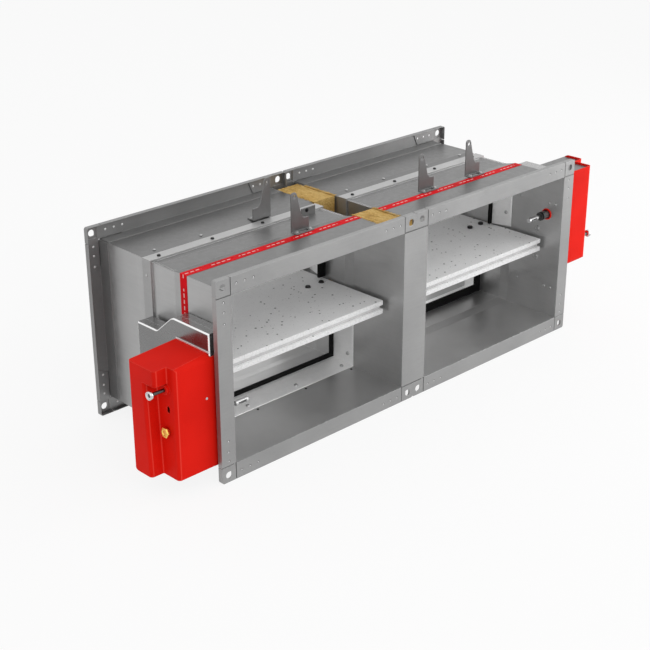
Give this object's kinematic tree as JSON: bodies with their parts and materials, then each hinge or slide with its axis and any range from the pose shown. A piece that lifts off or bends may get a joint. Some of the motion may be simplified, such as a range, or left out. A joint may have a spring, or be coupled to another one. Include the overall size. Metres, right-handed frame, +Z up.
{
  "type": "fire damper",
  "caption": "Rectangular fire dampers side by side in flanged sheet casings, each with a pivoting mineral blade, linkage housing, red release cover, pull knob and thermal fuse.",
  "frame": {"origin": "centre under the pair, on the plane of the flange frames' lower edges and at mid depth", "axes": "+X across both dampers, +Y along the air path to the back, +Z up"},
  "size_m": [1.1502, 0.35, 0.4049],
  "materials": {
    "galvanised_sheet": "galvanised sheet, satin",
    "bright_sheet": "bright folded sheet",
    "flange_sheet": "rolled galvanised flange bars",
    "black_seal": "matt black sealing strip",
    "mineral_board": "pale grey mineral board with fine dark specks",
    "edge_seal": "pale edge strip",
    "zinc_steel": "zinc plated",
    "bearing_bronze": "sintered bronze",
    "black_steel": "blackened",
    "red_cover": "moulded, slightly glossy",
    "knob_chrome": "polished",
    "brass": "plain turned",
    "mineral_wool": "layered mineral wool",
    "red_tape": "printed film tape, bare here"
  },
  "bodies": {
    "root": {"left_front_casing": "galvanised_sheet", "left_rear_casing": "galvanised_sheet", "left_thermal_break_frame": "galvanised_sheet", "left_front_stop": "bright_sheet", "left_rear_stop": "bright_sheet", "left_front_stop_seal": "black_seal", "left_rear_stop_seal": "black_seal", "left_shaft_bushes": "bearing_bronze", "left_linkage_tray": "galvanised_sheet", "left_linkage_lid": "galvanised_sheet", "left_mechanism_cover": "red_cover", "left_cover_bottom_plate": "galvanised_sheet", "left_thermal_fuse": "zinc_steel", "right_front_casing": "galvanised_sheet", "right_rear_casing": "galvanised_sheet", "right_thermal_break_frame": "galvanised_sheet", "right_front_stop": "bright_sheet", "right_rear_stop": "bright_sheet", "right_front_stop_seal": "black_seal", "right_rear_stop_seal": "black_seal", "right_shaft_bushes": "bearing_bronze", "right_linkage_tray": "galvanised_sheet", "right_linkage_lid": "galvanised_sheet", "right_mechanism_cover": "red_cover", "right_cover_bottom_plate": "galvanised_sheet", "right_thermal_fuse": "zinc_steel", "front_flange_bars": "flange_sheet", "rear_flange_bars": "flange_sheet", "front_corner_pieces": "flange_sheet", "rear_corner_pieces": "flange_sheet", "centre_covers": "flange_sheet", "mineral_wool_strips": "mineral_wool", "mounting_lugs": "bright_sheet", "joint_bands": "bright_sheet", "limit_tapes": "red_tape", "casing_rivets": "black_steel"},
    "left_blade": {"left_blade_upper_board": "mineral_board", "left_blade_lower_board": "mineral_board", "left_blade_edge_seal": "edge_seal", "left_blade_bolts": "zinc_steel", "left_drive_shaft": "zinc_steel", "left_idle_shaft": "zinc_steel", "left_blade_lever": "zinc_steel"},
    "left_link": {"left_link_rod": "zinc_steel"},
    "left_crank": {"left_drive_crank": "zinc_steel", "left_spring_barrel": "black_steel"},
    "left_knob": {"left_release_knob": "knob_chrome"},
    "left_button": {"left_fuse_button": "brass"},
    "right_blade": {"right_blade_upper_board": "mineral_board", "right_blade_lower_board": "mineral_board", "right_blade_edge_seal": "edge_seal", "right_blade_bolts": "zinc_steel", "right_drive_shaft": "zinc_steel", "right_idle_shaft": "zinc_steel", "right_blade_lever": "zinc_steel"},
    "right_link": {"right_link_rod": "zinc_steel"},
    "right_crank": {"right_drive_crank": "zinc_steel", "right_spring_barrel": "black_steel"},
    "right_knob": {"right_release_knob": "knob_chrome"},
    "right_button": {"right_fuse_button": "brass"}
  },
  "joints": [
    {"name": "left_blade_hinge", "type": "hinge", "parent": "root", "child": "left_blade", "pos_m": [-0.2301, 0.009, 0.18], "axis": [-1, 0, 0], "range_deg": [0, 90]},
    {"name": "left_crank_hinge", "type": "hinge", "parent": "root", "child": "left_crank", "pos_m": [-0.4386, -0.1, 0.13], "axis": [-1, 0, 0], "range_deg": [0, 90]},
    {"name": "left_link_hinge", "type": "hinge", "parent": "left_crank", "child": "left_link", "pos_m": [-0.4446, -0.132, 0.13], "axis": [-1, 0, 0], "range_deg": [-90, 0]},
    {"name": "left_knob_slide", "type": "slide", "parent": "root", "child": "left_knob", "axis": [-1, 0, 0], "range_m": [0, 0.008], "stiffness_N_per_m": 300},
    {"name": "left_button_slide", "type": "slide", "parent": "root", "child": "left_button", "axis": [1, 0, 0], "range_m": [0, 0.003], "stiffness_N_per_m": 400},
    {"name": "right_blade_hinge", "type": "hinge", "parent": "root", "child": "right_blade", "pos_m": [0.2301, 0.009, 0.18], "axis": [1, 0, 0], "range_deg": [0, 90]},
    {"name": "right_crank_hinge", "type": "hinge", "parent": "root", "child": "right_crank", "pos_m": [0.4386, -0.1, 0.23], "axis": [1, 0, 0], "range_deg": [0, 90]},
    {"name": "right_link_hinge", "type": "hinge", "parent": "right_crank", "child": "right_link", "pos_m": [0.4446, -0.132, 0.23], "axis": [1, 0, 0], "range_deg": [-90, 0]},
    {"name": "right_knob_slide", "type": "slide", "parent": "root", "child": "right_knob", "axis": [1, 0, 0], "range_m": [0, 0.008], "stiffness_N_per_m": 300},
    {"name": "right_button_slide", "type": "slide", "parent": "root", "child": "right_button", "axis": [-1, 0, 0], "range_m": [0, 0.003], "stiffness_N_per_m": 400}
  ],
  "couplings": [
    {"joint": "left_crank_hinge", "follows": "left_blade_hinge", "ratio": 1},
    {"joint": "left_link_hinge", "follows": "left_blade_hinge", "ratio": -1},
    {"joint": "right_crank_hinge", "follows": "right_blade_hinge", "ratio": 1},
    {"joint": "right_link_hinge", "follows": "right_blade_hinge", "ratio": -1}
  ]
}
